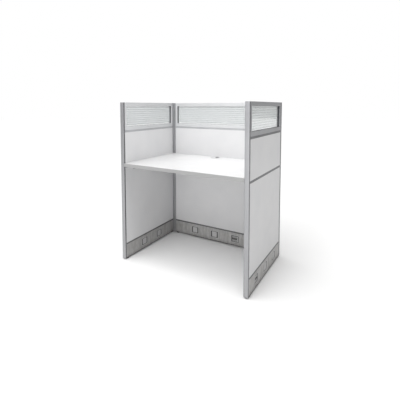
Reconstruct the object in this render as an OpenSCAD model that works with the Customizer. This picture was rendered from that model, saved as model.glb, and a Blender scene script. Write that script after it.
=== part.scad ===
// Study carrel: three glazed partition panels between aluminium posts, a desk hung
// between them, a cable raceway along the foot of each panel, levelling feet.
// +X is the user's right, +Y is towards the back panel, +Z is up.
// The origin is on the floor, in the middle of the carrel's outline.

/* [Overall] */
// Height from the floor to the top of the posts
overall_h = 1219; // [1140:1:1500]
// Length of the back panel between its two posts
back_len = 914; // [760:1:1220]
// Length of each side panel between its two posts
side_len = 626; // [500:1:920]
// Gap between the floor and the underside of posts and covers
base_gap = 8; // [7.5:0.5:20]

/* [Posts] */
// Thickness of a panel, which is also the width of each post
panel_t = 32; // [30:1:50]
// Depth of the slim posts that close the front ends of the side panels
front_post_d = 16; // [14:1:50]
// Wall of the post extrusion
post_wall = 2; // [1.5:0.1:3]
// Outer corner radius of the post extrusion
post_r = 1.5; // [0.5:0.1:3]
// Thickness of the cap on top of a post
cap_t = 2; // [1:0.5:4]
// Depth of the cap's plug inside the post
cap_plug = 14; // [5:1:30]
// Wall of that plug
plug_wall = 2; // [1:0.5:3]

/* [Panels] */
// Thickness of a tile
tile_t = 6; // [5:0.5:8]
// Height of the top edge of the base raceway
raceway_top = 127; // [110:1:150]
// Height of the middle of the joint between lower and upper tiles
tile_joint_z = 727; // [680:1:790]
// Height of the middle of the joint between upper tiles and window
window_joint_z = 998; // [960:1:1040]
// Height of the recessed trim in each joint
trim_h = 16; // [10:1:24]
// How far the trim lies behind the tile faces
trim_recess = 1; // [0.5:0.5:2]
// Reveal between the lower tile and the raceway cover
reveal = 1.5; // [1:0.5:4]

/* [Panel frame] */
// Width of an upright of the steel frame
stile_w = 30; // [26:1:40]
// Wall of the steel frame's tubes and channels
frame_wall = 1.5; // [1:0.1:2.5]
// Height of the bottom and top rails
rail_h = 32; // [26:1:40]
// Height of the middle rail, which carries the desk brackets
mid_rail_h = 50; // [46:1:60]
// Thickness of the web that splits the raceway into two cable ways
web_t = 1.5; // [1:0.1:3]

/* [Window] */
// Height of the top and bottom rails of the window frame
window_rail_h = 28; // [22:1:40]
// Width of the uprights of the window frame
window_stile_w = 18; // [14:1:40]
// Thickness of the glass
glass_t = 5; // [4:0.5:7]
// Width of the groove that holds glass and gasket
groove_w = 9; // [8:0.5:11]
// Depth of that groove
groove_d = 9; // [7:0.5:11]
// How far the glass reaches into the groove
glass_bite = 6; // [4:0.5:6.5]
// How far the gasket shows past the groove
gasket_lip = 1.5; // [0.5:0.5:3]

/* [Raceway] */
// Thickness of a raceway cover
cover_t = 1.8; // [1.2:0.1:3]
// Height of the cover's top lip
lip_top = 10; // [6:1:16]
// Height of the cover's bottom lip
lip_bottom = 5; // [3:1:10]
// How far the cover's face lies behind its lips
cover_recess = 1; // [0.5:0.5:2]
// Width of a port opening
port_w = 80; // [60:1:100]
// Height of a port opening
port_h = 66; // [50:1:72]
// Spacing of the three ports on the back panel
back_port_pitch = 198; // [150:1:220]
// Sideways shift of the back panel's ports
back_port_shift = -50; // [-60:1:60]
// Spacing of the two ports on the inside of a side panel
inner_port_pitch = 196; // [120:1:220]
// Spacing of the three ports on the outside of a side panel
outer_port_pitch = 185; // [120:1:190]
// Size of the box behind a port's plate, as a share of the opening
port_box = 0.6; // [0.4:0.05:0.8]

/* [Desk] */
// Height of the desk surface
desk_z = 755; // [720:1:780]
// Thickness of the desk
desk_t = 25; // [18:0.5:32]
// Thickness of the band on the desk's front edge
band_t = 2; // [1:0.5:3]
// Gap between the desk and the panels around it
desk_gap = 1; // [0.5:0.5:3]
// Leg of the angle brackets under the desk
bracket_leg = 34; // [28:1:40]
// Thickness of the angle brackets
bracket_t = 2.5; // [2:0.5:4]
// Length of each side bracket
side_bracket_len = 460; // [300:1:480]
// Length of each of the two back brackets
back_bracket_len = 180; // [120:1:220]
// Distance from the middle of the desk to the middle of each back bracket
back_bracket_x = 230; // [200:1:240]
// Radius of a desk screw
screw_r = 2.5; // [2:0.1:3]
// How far a desk screw stands along the bracket from the panel screw beside it
screw_stagger = 12; // [11:1:16]
// Length of a desk screw's shank
screw_len = 15; // [13:1:18]
// Place of the screws on a bracket's leg, as a share of the leg
screw_share = 0.55; // [0.5:0.01:0.6]

/* [Grommet] */
// Sideways place of the cable grommet
grommet_x = -17; // [-200:1:200]
// Distance from the desk's back edge to the grommet's middle
grommet_back = 50; // [45:1:90]
// Radius of the hole in the desk
grommet_hole_r = 30; // [25:0.5:35]
// Width of the grommet's flange past the hole
flange_w = 8; // [6:0.5:12]
// Thickness of the flange
flange_t = 3; // [2.5:0.5:4]
// Wall of the grommet's sleeve
sleeve_wall = 2.2; // [1.5:0.1:3]
// Depth of the recess that the cap sits in
cap_seat = 1.5; // [1:0.5:2]
// Depth of the cap's skirt
skirt_h = 7; // [4:1:12]
// Wall of the cap's skirt
skirt_wall = 1.8; // [1:0.1:2.5]
// Width of the cable slot in the cap
slot_w = 18; // [10:1:24]

/* [Feet] */
// Radius of a foot's pad
pad_r = 15; // [11:0.5:15]
// Height of a foot's pad
pad_h = 5; // [4:0.5:5]
// Radius of a foot's stem
stem_r = 4; // [3:0.5:5]
// Length of a foot's stem
stem_len = 34; // [30:1:44]
// Height of the threaded insert that takes the stem
insert_h = 18; // [12:1:24]

/* [Bolts] */
// Radius of a connecting bolt
bolt_r = 3; // [2.5:0.5:4]
// Height of the lower connecting bolts
bolt_low_z = 260; // [200:1:400]
// Height of the upper connecting bolts
bolt_high_z = 880; // [800:1:930]

/* [Fits] */
// Gap at each end of a panel's pieces, next to the posts
end_gap = 0.5; // [0.2:0.1:1]
// Radial clearance of a screw or bolt in its hole
hole_clear = 0.3; // [0.1:0.1:0.6]
// Radial clearance of a foot's stem in its insert
stem_clear = 0.08; // [0.02:0.01:0.1]
// Clearance of the grommet cap in its liner
cap_clear = 0.3; // [0.2:0.1:0.5]
// Clearance of a port module in its opening
port_clear = 0.5; // [0.3:0.1:1]
// Clearance of a cap's plug in its post, across both sides
plug_clear = 0.2; // [0.1:0.1:0.5]
// Small gap between seated pieces
seat_gap = 0.3; // [0.2:0.1:0.5]

/* [Hidden] */
$fn = 48;
eps = 0.02;

// Outline of the carrel
overall_w = back_len + 4 * panel_t;
overall_d = side_len + front_post_d + panel_t;
front_y = -overall_d / 2;
back_face_y = overall_d / 2 - panel_t;
side_face_x = overall_w / 2 - panel_t;
side_mid_x = overall_w / 2 - panel_t / 2;
front_mid_y = front_y + front_post_d / 2;
side_mid_y = front_y + front_post_d + side_len / 2;
rear_mid_y = overall_d / 2 - panel_t / 2;
wall_mid_x = side_face_x - panel_t / 2;
post_h = overall_h - cap_t - base_gap;

// Layers of a panel, measured from its middle plane
frame_t = panel_t - 2 * tile_t;
frame_bottom = base_gap + 2;
window_bottom = window_joint_z + trim_h / 2;
window_h = overall_h - window_bottom;
cover_h = raceway_top - base_gap;
port_z = (raceway_top - lip_top + base_gap + lip_bottom) / 2;

// Desk
desk_w = 2 * side_face_x - 2 * desk_gap;
desk_back_y = back_face_y - desk_gap;
desk_under = desk_z - desk_t;
bracket_screw_in = bracket_leg * screw_share;
bracket_screw_z = desk_under - bracket_screw_in;
grommet_y = desk_back_y - grommet_back;
cap_r = grommet_hole_r + flange_w / 2;
cap_rise = 0.6;
skirt_r = grommet_hole_r - hole_clear - sleeve_wall - cap_clear;
slot_start = cap_r * 0.45;

// Screws
head_r = screw_r * 2;
head_h = 3;
bolt_head_r = bolt_r * 1.7;
bolt_head_h = 4;
bolt_len = 14;
side_screw_ys = [for (i = [-1:1]) i * side_bracket_len * 0.4];
back_screw_xs = [for (s = [-1, 1], i = [-1, 1]) s * back_bracket_x + i * back_bracket_len / 3];

// Colours
c_alu = [0.62, 0.63, 0.65];
c_alu_dark = [0.42, 0.43, 0.45];
c_raceway = [0.55, 0.56, 0.57];
c_tile = [0.86, 0.86, 0.87];
c_desk = [0.95, 0.95, 0.95];
c_glass = [0.8, 0.9, 0.88, 0.4];
c_steel = [0.5, 0.5, 0.52];
c_black = [0.1, 0.1, 0.1];

// Puts a panel's piece in place. A panel is drawn along X about its middle,
// with its inner face towards -Y.
module on_panel(side) {
    if (side == "back") translate([0, rear_mid_y, 0]) children();
    if (side == "left") translate([-side_mid_x, side_mid_y, 0]) rotate(90) children();
    if (side == "right") translate([side_mid_x, side_mid_y, 0]) rotate(-90) children();
}

// Turns an inner piece into an outer one
module on_face(face) {
    if (face == "inner") children();
    if (face == "outer") mirror([0, 1, 0]) children();
}

function len_of(side) = side == "back" ? back_len : side_len;
function bracket_screws(side) = side == "back" ? back_screw_xs : side_screw_ys;
function ports(side, face) =
    side == "back" ? [for (i = [-1:1]) back_port_shift + i * back_port_pitch]
    : face == "inner" ? [-inner_port_pitch / 2, inner_port_pitch / 2]
    : [for (i = [-1:1]) i * outer_port_pitch];

// A box centred in X and Y that stands on z
module slab(w, d, h, z = 0) {
    translate([-w / 2, -d / 2, z]) cube([w, d, h]);
}

// A round bar along +Y that starts at y
module rod_y(r, len, y = 0) {
    translate([0, y, 0]) rotate([-90, 0, 0]) cylinder(r = r, h = len);
}

// Outline w by d with round corners
module round_outline(w, d, r) {
    square([w, d - 2 * r], center = true);
    square([w - 2 * r, d], center = true);
    for (x = [-1, 1], y = [-1, 1])
        translate([x * (w / 2 - r), y * (d / 2 - r)]) circle(r = r);
}

// ---- Posts ----

// Hollow extrusion, depth along Y. bolts lists the directions its bolt holes face.
module post(x, y, bolts, depth = panel_t) {
    color(c_alu) translate([x, y, 0]) difference() {
        translate([0, 0, base_gap]) linear_extrude(post_h) difference() {
            round_outline(panel_t, depth, post_r);
            square([panel_t - 2 * post_wall, depth - 2 * post_wall], center = true);
        }
        for (a = bolts, z = [bolt_low_z, bolt_high_z])
            translate([0, 0, z]) rotate(a)
                rod_y(bolt_r + hole_clear, post_wall + 2, depth / 2 - post_wall - 1);
    }
}

module front_post_left() { post(-side_mid_x, front_mid_y, [0], front_post_d); }
module front_post_right() { post(side_mid_x, front_mid_y, [0], front_post_d); }
module rear_post_left() { post(-side_mid_x, rear_mid_y, [180, -90]); }
module rear_post_right() { post(side_mid_x, rear_mid_y, [180, 90]); }
module wall_post_left() { post(-wall_mid_x, rear_mid_y, [90, -90]); }
module wall_post_right() { post(wall_mid_x, rear_mid_y, [90, -90]); }

// Moulded cap with a hollow plug for the top of a post of that depth
module post_cap(x, y, depth = panel_t) {
    plug_w = panel_t - 2 * post_wall - plug_clear;
    plug_d = depth - 2 * post_wall - plug_clear;
    translate([x, y, overall_h - cap_t]) {
        linear_extrude(cap_t) round_outline(panel_t - seat_gap, depth - seat_gap, post_r);
        difference() {
            slab(plug_w, plug_d, cap_plug + eps, -cap_plug);
            slab(plug_w - 2 * plug_wall, plug_d - 2 * plug_wall, cap_plug + 1, -cap_plug - 1);
        }
    }
}

module post_caps() {
    color(c_alu_dark) for (s = [-1, 1]) {
        post_cap(s * side_mid_x, front_mid_y, front_post_d);
        post_cap(s * side_mid_x, rear_mid_y);
        post_cap(s * wall_mid_x, rear_mid_y);
    }
}

// ---- Steel frames inside the panels ----

// Folded channel that is open underneath
module channel(len, h, z_top) {
    difference() {
        slab(len, frame_t, h, z_top - h);
        slab(len + 1, frame_t - 2 * frame_wall, h, z_top - h - frame_wall);
    }
}

module panel_frame(side) {
    len = len_of(side) - 2 * end_gap;
    inside = len - 2 * stile_w;
    color(c_steel) on_panel(side) difference() {
        union() {
            for (s = [-1, 1]) translate([s * (len - stile_w) / 2, 0, 0]) difference() {
                slab(stile_w, frame_t, window_bottom - frame_bottom, frame_bottom);
                slab(stile_w - 2 * frame_wall, frame_t - 2 * frame_wall,
                     window_bottom - frame_bottom + 2, frame_bottom - 1);
            }
            channel(inside + eps, rail_h, raceway_top + rail_h / 2);
            channel(inside + eps, mid_rail_h, tile_joint_z + mid_rail_h / 2);
            channel(inside + eps, rail_h, window_bottom);
            slab(inside + eps, web_t, raceway_top + rail_h / 2 - frame_wall - frame_bottom,
                 frame_bottom);
        }
        // holes for the bolts into the posts
        for (s = [-1, 1], z = [bolt_low_z, bolt_high_z])
            translate([s * (len / 2 - frame_wall - 1), 0, z]) rotate(-90 * s)
                rod_y(bolt_r + hole_clear, frame_wall + 2);
        // holes for the bolts up into the window frame
        for (s = [-1, 1])
            translate([s * inside / 4, 0, window_bottom - frame_wall - 1])
                cylinder(r = bolt_r + hole_clear, h = frame_wall + 2);
        // holes for the desk bracket screws
        for (x = bracket_screws(side))
            translate([x, 0, bracket_screw_z])
                rod_y(screw_r + hole_clear, frame_wall + 2, -frame_t / 2 - 1);
    }
}

module frame_left() { panel_frame("left"); }
module frame_back() { panel_frame("back"); }
module frame_right() { panel_frame("right"); }

// ---- Windows ----

function opening_w(side) = len_of(side) - 2 * end_gap - 2 * window_stile_w;
opening_h = window_h - 2 * window_rail_h;
opening_z = window_bottom + window_rail_h;

// Upright plate of the opening's outline grown by g all round
module pane(side, t, g) {
    slab(opening_w(side) + 2 * g, t, opening_h + 2 * g, opening_z - g);
}

module window_frame(side) {
    len = len_of(side) - 2 * end_gap;
    color(c_alu) on_panel(side) difference() {
        slab(len, panel_t, window_h, window_bottom);
        pane(side, panel_t + 2, 0);
        pane(side, groove_w, groove_d);
        for (s = [-1, 1])
            translate([s * (len - 2 * stile_w) / 4, 0, window_bottom - 1])
                cylinder(r = bolt_r + hole_clear, h = bolt_len);
    }
}

module window_frame_left() { window_frame("left"); }
module window_frame_back() { window_frame("back"); }
module window_frame_right() { window_frame("right"); }

module glass(side) { color(c_glass) on_panel(side) pane(side, glass_t, glass_bite); }
module glass_left() { glass("left"); }
module glass_back() { glass("back"); }
module glass_right() { glass("right"); }

// Rubber channel round each pane
module glazing_gaskets() {
    color(c_black)
        for (side = ["left", "back", "right"]) on_panel(side) difference() {
            pane(side, groove_w, groove_d);
            pane(side, groove_w + 2, -gasket_lip);
            pane(side, glass_t, glass_bite);
        }
}

// ---- Tiles and joint trims ----

// Flat tile on one face of a panel, from z0 to z1
module tile(side, face, z0, z1, screws = false) {
    color(c_tile) on_panel(side) on_face(face) difference() {
        translate([0, -(frame_t + tile_t) / 2, 0])
            slab(len_of(side) - 2 * end_gap, tile_t, z1 - z0, z0);
        if (screws) for (x = bracket_screws(side))
            translate([x, 0, bracket_screw_z])
                rod_y(screw_r + hole_clear, tile_t + 2, -panel_t / 2 - 1);
    }
}

module upper_tile(side, face) {
    tile(side, face, tile_joint_z + trim_h / 2, window_joint_z - trim_h / 2);
}
module lower_tile(side, face) {
    tile(side, face, raceway_top + reveal, tile_joint_z - trim_h / 2, face == "inner");
}

module upper_tile_left_inner() { upper_tile("left", "inner"); }
module upper_tile_left_outer() { upper_tile("left", "outer"); }
module upper_tile_back_inner() { upper_tile("back", "inner"); }
module upper_tile_back_outer() { upper_tile("back", "outer"); }
module upper_tile_right_inner() { upper_tile("right", "inner"); }
module upper_tile_right_outer() { upper_tile("right", "outer"); }
module lower_tile_left_inner() { lower_tile("left", "inner"); }
module lower_tile_left_outer() { lower_tile("left", "outer"); }
module lower_tile_back_inner() { lower_tile("back", "inner"); }
module lower_tile_back_outer() { lower_tile("back", "outer"); }
module lower_tile_right_inner() { lower_tile("right", "inner"); }
module lower_tile_right_outer() { lower_tile("right", "outer"); }

// Four strips that close a panel's tile joints on both faces
module joint_trims(side) {
    depth = tile_t - trim_recess;
    color(c_alu_dark) on_panel(side)
        for (z = [tile_joint_z, window_joint_z], s = [-1, 1])
            translate([0, s * (frame_t + depth) / 2, 0])
                slab(len_of(side) - 2 * end_gap, depth, trim_h, z - trim_h / 2);
}
module joint_trims_left() { joint_trims("left"); }
module joint_trims_back() { joint_trims("back"); }
module joint_trims_right() { joint_trims("right"); }

// ---- Base raceway ----

// Section of a cover, seen along its length: y runs into the panel, z is up
module cover_section() {
    face_y = -panel_t / 2;
    rail_y = -frame_t / 2 - seat_gap;
    back_y = face_y + cover_recess + cover_t;
    polygon([
        [face_y, raceway_top], [face_y, raceway_top - lip_top],
        [face_y + cover_recess, raceway_top - lip_top - cover_recess],
        [face_y + cover_recess, base_gap + lip_bottom + cover_recess],
        [face_y, base_gap + lip_bottom], [face_y, base_gap],
        [rail_y, base_gap], [rail_y, base_gap + cover_t],
        [back_y, base_gap + cover_t], [back_y, raceway_top - cover_t],
        [rail_y, raceway_top - cover_t], [rail_y, raceway_top]
    ]);
}

module raceway_cover(side, face) {
    len = len_of(side) - 2 * end_gap;
    color(c_raceway) on_panel(side) on_face(face) difference() {
        translate([-len / 2, 0, 0]) rotate([90, 0, 90]) linear_extrude(len) cover_section();
        for (x = ports(side, face))
            translate([x, -panel_t / 2, 0])
                slab(port_w, 2 * (cover_recess + cover_t + 1), port_h, port_z - port_h / 2);
    }
}

module raceway_cover_left_inner() { raceway_cover("left", "inner"); }
module raceway_cover_left_outer() { raceway_cover("left", "outer"); }
module raceway_cover_back_inner() { raceway_cover("back", "inner"); }
module raceway_cover_back_outer() { raceway_cover("back", "outer"); }
module raceway_cover_right_inner() { raceway_cover("right", "inner"); }
module raceway_cover_right_outer() { raceway_cover("right", "outer"); }

// Blank port module: a plate in the cover's opening on a box against the web
module port_module(x) {
    plate_y = -panel_t / 2 + cover_recess;
    box_d = -plate_y - web_t / 2;
    translate([x, 0, 0]) {
        translate([0, plate_y + cover_t / 2, 0])
            slab(port_w - 2 * port_clear, cover_t, port_h - 2 * port_clear,
                 port_z - port_h / 2 + port_clear);
        translate([0, plate_y + box_d / 2, 0])
            slab(port_w * port_box, box_d, port_h * port_box, port_z - port_h * port_box / 2);
    }
}

module port_modules(side) {
    color(c_alu) on_panel(side)
        for (face = ["inner", "outer"], x = ports(side, face)) on_face(face) port_module(x);
}
module port_modules_left() { port_modules("left"); }
module port_modules_back() { port_modules("back"); }
module port_modules_right() { port_modules("right"); }

// ---- Desk ----

module grommet_hole() {
    translate([grommet_x, grommet_y, desk_under - 1])
        cylinder(r = grommet_hole_r, h = desk_t + 2, $fn = 96);
}

// Place of each screw that goes up into the desk
function desk_screw_places() = concat(
    [for (s = [-1, 1], y = side_screw_ys)
        [s * (side_face_x - bracket_screw_in), side_mid_y + y + screw_stagger]],
    [for (x = back_screw_xs) [x + screw_stagger, back_face_y - bracket_screw_in]]);

module desk_top() {
    color(c_desk) difference() {
        translate([-desk_w / 2, front_y + band_t, desk_under])
            cube([desk_w, desk_back_y - front_y - band_t, desk_t]);
        grommet_hole();
        for (p = desk_screw_places())
            translate([p[0], p[1], desk_under - 1])
                cylinder(r = screw_r + hole_clear, h = screw_len);
    }
}

module desk_edge_band() {
    color(c_desk) translate([-desk_w / 2, front_y, desk_under]) cube([desk_w, band_t, desk_t]);
}

// Steel angle along X with its upright leg at y = 0 and its flat leg towards -Y
module angle_bracket(len, screws) {
    z = desk_under - bracket_leg;
    color(c_steel) difference() {
        translate([-len / 2, -bracket_leg, z]) difference() {
            cube([len, bracket_leg, bracket_leg]);
            translate([-1, -bracket_t, -bracket_t])
                cube([len + 2, bracket_leg, bracket_leg]);
        }
        for (x = screws) {
            translate([x, 0, bracket_screw_z])
                rod_y(screw_r + hole_clear, bracket_t + 2, -bracket_t - 1);
            translate([x + screw_stagger, -bracket_screw_in, desk_under - bracket_t - 1])
                cylinder(r = screw_r + hole_clear, h = bracket_t + 2);
        }
    }
}

module desk_bracket_left() {
    translate([-side_face_x, side_mid_y, 0]) rotate(90)
        angle_bracket(side_bracket_len, side_screw_ys);
}
module desk_bracket_right() {
    mirror([1, 0, 0]) desk_bracket_left();
}
module desk_bracket_back() {
    for (s = [-1, 1]) translate([s * back_bracket_x, back_face_y, 0])
        angle_bracket(back_bracket_len, [-back_bracket_len / 3, back_bracket_len / 3]);
}

// Pan-head screw along +Z with its head's underside at the origin
module screw() {
    translate([0, 0, -1]) cylinder(r = screw_r, h = screw_len - 1);
    translate([0, 0, -head_h]) cylinder(r = head_r, h = head_h);
}

module desk_screws() {
    color(c_alu) {
        for (p = desk_screw_places())
            translate([p[0], p[1], desk_under - bracket_t]) screw();
        for (s = [-1, 1], y = side_screw_ys)
            translate([s * (side_face_x - bracket_t), side_mid_y + y, bracket_screw_z])
                rotate([0, s * 90, 0]) screw();
        for (x = back_screw_xs)
            translate([x, back_face_y - bracket_t, bracket_screw_z])
                rotate([-90, 0, 0]) screw();
    }
}

// Moulded liner: flange with a recess for the cap, and a sleeve through the desk
module grommet_liner() {
    color(c_alu) translate([grommet_x, grommet_y, 0]) difference() {
        union() {
            translate([0, 0, desk_z])
                cylinder(r = grommet_hole_r + flange_w, h = flange_t, $fn = 96);
            translate([0, 0, desk_under + 3])
                cylinder(r = grommet_hole_r - hole_clear, h = desk_t - 2, $fn = 96);
        }
        translate([0, 0, desk_under])
            cylinder(r = grommet_hole_r - hole_clear - sleeve_wall, h = desk_t + 10, $fn = 96);
        translate([0, 0, desk_z + flange_t - cap_seat])
            cylinder(r = cap_r, h = cap_seat + 1, $fn = 96);
    }
}

// Round cap that turns in the liner, with a slot for the cables
module grommet_cap() {
    plate_t = cap_seat + cap_rise;
    color(c_alu_dark) translate([grommet_x, grommet_y, desk_z + flange_t - cap_seat])
        difference() {
        union() {
            translate([0, 0, seat_gap]) cylinder(r = cap_r - cap_clear, h = plate_t, $fn = 96);
            difference() {
                translate([0, 0, -skirt_h]) cylinder(r = skirt_r, h = skirt_h + 1, $fn = 96);
                translate([0, 0, -skirt_h - 1])
                    cylinder(r = skirt_r - skirt_wall, h = skirt_h + 1, $fn = 96);
            }
        }
        translate([slot_start, -slot_w / 2, -skirt_h - 1]) cube([cap_r, slot_w, skirt_h + 6]);
        translate([slot_start, 0, -skirt_h - 1]) cylinder(r = slot_w / 2, h = skirt_h + 6);
    }
}

// ---- Fasteners ----

// Bolt along +Z with its head's underside at the origin
module bolt() {
    translate([0, 0, -1]) cylinder(r = bolt_r, h = bolt_len + 1);
    translate([0, 0, -bolt_head_h]) cylinder(r = bolt_head_r, h = bolt_head_h);
}

// Bolts through the wall of the post at x, y into whatever stands on its side a
module post_bolts(x, y, a, depth = panel_t) {
    for (z = [bolt_low_z, bolt_high_z])
        translate([x, y, z]) rotate(a) translate([0, depth / 2 - post_wall, 0])
            rotate([-90, 0, 0]) bolt();
}

// Bolts that hold the panels to the posts and the windows to the frames
module connecting_bolts() {
    color(c_steel) {
        for (s = [-1, 1]) {
            post_bolts(s * side_mid_x, front_mid_y, 0, front_post_d);
            post_bolts(s * side_mid_x, rear_mid_y, 180);
            post_bolts(s * side_mid_x, rear_mid_y, s * 90);
            post_bolts(s * wall_mid_x, rear_mid_y, s * 90);
        }
        for (side = ["left", "back", "right"], s = [-1, 1])
            on_panel(side)
                translate([s * (len_of(side) - 2 * end_gap - 2 * stile_w) / 4, 0,
                           window_bottom - frame_wall]) bolt();
    }
}

// ---- Levelling feet ----

// Distance from a post's side to the middle of the nearest panel foot
foot_in = end_gap + stile_w / 2;
side_foot_front_y = front_y + front_post_d + foot_in;
side_foot_rear_y = back_face_y - foot_in;
back_foot_x = back_len / 2 - foot_in;

// Bored block that fills the foot of a tube of inner size w by d
module foot_insert(x, y, w, d, z) {
    translate([x, y, 0]) difference() {
        slab(w, d, insert_h, z);
        translate([0, 0, z - 1]) cylinder(r = stem_r + stem_clear, h = insert_h + 2);
    }
}

module foot_inserts() {
    stile_in = stile_w - 2 * frame_wall;
    frame_in = frame_t - 2 * frame_wall;
    post_in = panel_t - 2 * post_wall;
    color(c_steel) for (s = [-1, 1]) {
        foot_insert(s * side_mid_x, side_foot_front_y, frame_in, stile_in, frame_bottom);
        foot_insert(s * side_mid_x, side_foot_rear_y, frame_in, stile_in, frame_bottom);
        foot_insert(s * back_foot_x, rear_mid_y, stile_in, frame_in, frame_bottom);
        foot_insert(s * side_mid_x, rear_mid_y, post_in, post_in, base_gap);
    }
}

// Pad, hexagon and stem of one foot
module foot(x, y) {
    hex_h = min(2, base_gap - pad_h - 0.5);
    color(c_black) translate([x, y, 0]) {
        cylinder(r = pad_r, h = pad_h * 0.5);
        translate([0, 0, pad_h * 0.5 - eps]) cylinder(r = pad_r * 0.85, h = pad_h * 0.5 + eps);
        translate([0, 0, pad_h - eps]) cylinder(r = stem_r * 1.9, h = hex_h + eps, $fn = 6);
        translate([0, 0, pad_h - eps]) cylinder(r = stem_r, h = stem_len);
    }
}

module foot_left_front() { foot(-side_mid_x, side_foot_front_y); }
module foot_left_rear() { foot(-side_mid_x, side_foot_rear_y); }
module foot_right_front() { foot(side_mid_x, side_foot_front_y); }
module foot_right_rear() { foot(side_mid_x, side_foot_rear_y); }
module foot_back_left() { foot(-back_foot_x, rear_mid_y); }
module foot_back_right() { foot(back_foot_x, rear_mid_y); }
module foot_corner_left() { foot(-side_mid_x, rear_mid_y); }
module foot_corner_right() { foot(side_mid_x, rear_mid_y); }

front_post_left();
front_post_right();
rear_post_left();
rear_post_right();
wall_post_left();
wall_post_right();
post_caps();
frame_left();
frame_back();
frame_right();
window_frame_left();
window_frame_back();
window_frame_right();
glass_left();
glass_back();
glass_right();
glazing_gaskets();
upper_tile_left_inner();
upper_tile_left_outer();
upper_tile_back_inner();
upper_tile_back_outer();
upper_tile_right_inner();
upper_tile_right_outer();
lower_tile_left_inner();
lower_tile_left_outer();
lower_tile_back_inner();
lower_tile_back_outer();
lower_tile_right_inner();
lower_tile_right_outer();
joint_trims_left();
joint_trims_back();
joint_trims_right();
raceway_cover_left_inner();
raceway_cover_left_outer();
raceway_cover_back_inner();
raceway_cover_back_outer();
raceway_cover_right_inner();
raceway_cover_right_outer();
port_modules_left();
port_modules_back();
port_modules_right();
desk_top();
desk_edge_band();
desk_bracket_left();
desk_bracket_right();
desk_bracket_back();
desk_screws();
grommet_liner();
grommet_cap();
connecting_bolts();
foot_inserts();
foot_left_front();
foot_left_rear();
foot_right_front();
foot_right_rear();
foot_back_left();
foot_back_right();
foot_corner_left();
foot_corner_right();
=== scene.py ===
# Study carrel: three glazed partition panels between posts, with a desk hung
# between them. Each section below makes one piece, or one group of like
# pieces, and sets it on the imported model. Sizes are in metres.
import math

import bmesh
import bpy
from mathutils import Matrix, Vector


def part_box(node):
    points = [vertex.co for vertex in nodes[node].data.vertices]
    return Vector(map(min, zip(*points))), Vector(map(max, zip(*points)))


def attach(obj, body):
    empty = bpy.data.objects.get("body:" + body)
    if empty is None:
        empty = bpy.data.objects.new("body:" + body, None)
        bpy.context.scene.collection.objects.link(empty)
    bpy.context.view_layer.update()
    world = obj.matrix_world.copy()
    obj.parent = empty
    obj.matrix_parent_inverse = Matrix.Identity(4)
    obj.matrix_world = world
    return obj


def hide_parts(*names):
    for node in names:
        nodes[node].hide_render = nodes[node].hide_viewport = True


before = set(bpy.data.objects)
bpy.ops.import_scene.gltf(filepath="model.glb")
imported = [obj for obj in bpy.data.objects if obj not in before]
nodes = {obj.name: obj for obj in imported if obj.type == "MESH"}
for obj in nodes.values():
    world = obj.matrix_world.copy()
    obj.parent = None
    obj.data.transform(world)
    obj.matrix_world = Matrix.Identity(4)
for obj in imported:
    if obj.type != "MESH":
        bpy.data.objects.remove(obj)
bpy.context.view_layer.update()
MM = 0.001

# ---------------------------------------------------------------------------
# Studio: a camera off the right front corner at the height of the panel tops,
# broad light from above, a soft key over the open front, and a pale floor.
camera_lens = bpy.data.cameras.new("camera")
camera_lens.lens = 28.437
camera_lens.shift_y = -0.18
camera = bpy.data.objects.new("camera", camera_lens)
camera.location = (1.2078, -2.1012, 1.1879)
camera.rotation_euler = (math.radians(90 - 3.899), 0, math.radians(30.245))
bpy.context.scene.collection.objects.link(camera)
bpy.context.scene.camera = camera
bpy.context.scene.view_settings.view_transform = "Standard"


def add_light(name, kind, place, aim, energy, **settings):
    """A light of that kind at place that faces aim."""
    light = bpy.data.lights.new(name, kind)
    light.energy = energy
    for title, value in settings.items():
        setattr(light, title, value)
    lamp = bpy.data.objects.new(name, light)
    lamp.location = place
    lamp.rotation_euler = (Vector(aim) - Vector(place)).to_track_quat("-Z", "Y").to_euler()
    lamp.visible_camera = False
    bpy.context.scene.collection.objects.link(lamp)


add_light("overhead_light", "SUN", (-1.0, -1.3, 6), (0, 0, 0), 2.6, angle=math.radians(76))
add_light("key_light", "AREA", (-0.1, -3.0, 1.1), (-0.1, 0.3, 0.5), 18, size=1.8)
add_light("bay_light", "AREA", (0.36, -0.45, 1.9), (-0.5, 0.05, 0.95), 5.5, size=0.3)


def feed(tree, node, feeds):
    """Gives each named input of a node a value or another node's output."""
    for key, value in feeds.items():
        if isinstance(value, bpy.types.NodeSocket):
            tree.links.new(value, node.inputs[key])
        else:
            node.inputs[key].default_value = value


def add_node(tree, kind, feeds=None, **settings):
    """A new node of that kind, with its settings made and its inputs fed."""
    node = tree.nodes.new(kind)
    for name, value in settings.items():
        setattr(node, name, value)
    feed(tree, node, feeds or {})
    return node


world = bpy.data.worlds.new("studio")
bpy.context.scene.world = world
world.use_nodes = True
tree = world.node_tree
sky = tree.nodes["Background"]
feed(tree, sky, {"Color": (1.0, 0.995, 0.985, 1), "Strength": 0.32})
backdrop = add_node(tree, "ShaderNodeBackground", {"Color": (1, 1, 1, 1)})
ray = add_node(tree, "ShaderNodeLightPath")
seen = add_node(tree, "ShaderNodeMath", {
    0: ray.outputs["Is Camera Ray"], 1: ray.outputs["Is Transmission Ray"]}, operation="MAXIMUM")
either = add_node(tree, "ShaderNodeMixShader", {
    0: seen.outputs[0], 1: sky.outputs[0], 2: backdrop.outputs[0]})
feed(tree, tree.nodes["World Output"], {0: either.outputs[0]})


def new_material(name, fixed):
    """A material, its tree and its shader; fixed holds the shader's plain values."""
    paint = bpy.data.materials.new(name)
    paint.use_nodes = True
    shader = paint.node_tree.nodes["Principled BSDF"]
    feed(paint.node_tree, shader, fixed)
    return paint, paint.node_tree, shader


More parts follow.
